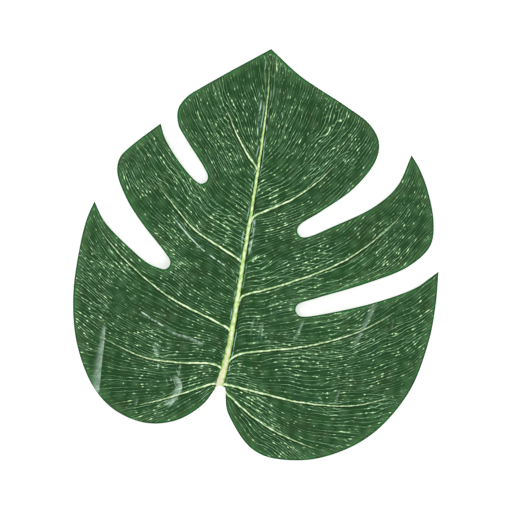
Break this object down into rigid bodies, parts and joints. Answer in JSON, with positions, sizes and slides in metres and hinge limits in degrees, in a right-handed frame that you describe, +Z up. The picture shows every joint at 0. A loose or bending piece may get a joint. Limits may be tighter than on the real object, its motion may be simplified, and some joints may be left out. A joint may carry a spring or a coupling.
{
  "type": "monstera leaf",
  "caption": "Decorative monstera leaf pressed from one thin sheet of printed fabric, with a raised midrib, side veins and deep slits between its lobes.",
  "frame": {"origin": "on the table the leaf lies on, under the middle of its bounding box", "axes": "+Z up from the table, +Y along the midrib towards the leaf tip, +X to the right seen from above"},
  "size_m": [0.1783, 0.1999, 0.0101],
  "materials": {
    "leaf": "printed woven polyester with a satin coat"
  },
  "bodies": {
    "root": {"monstera_leaf": "leaf"}
  },
  "joints": []
}
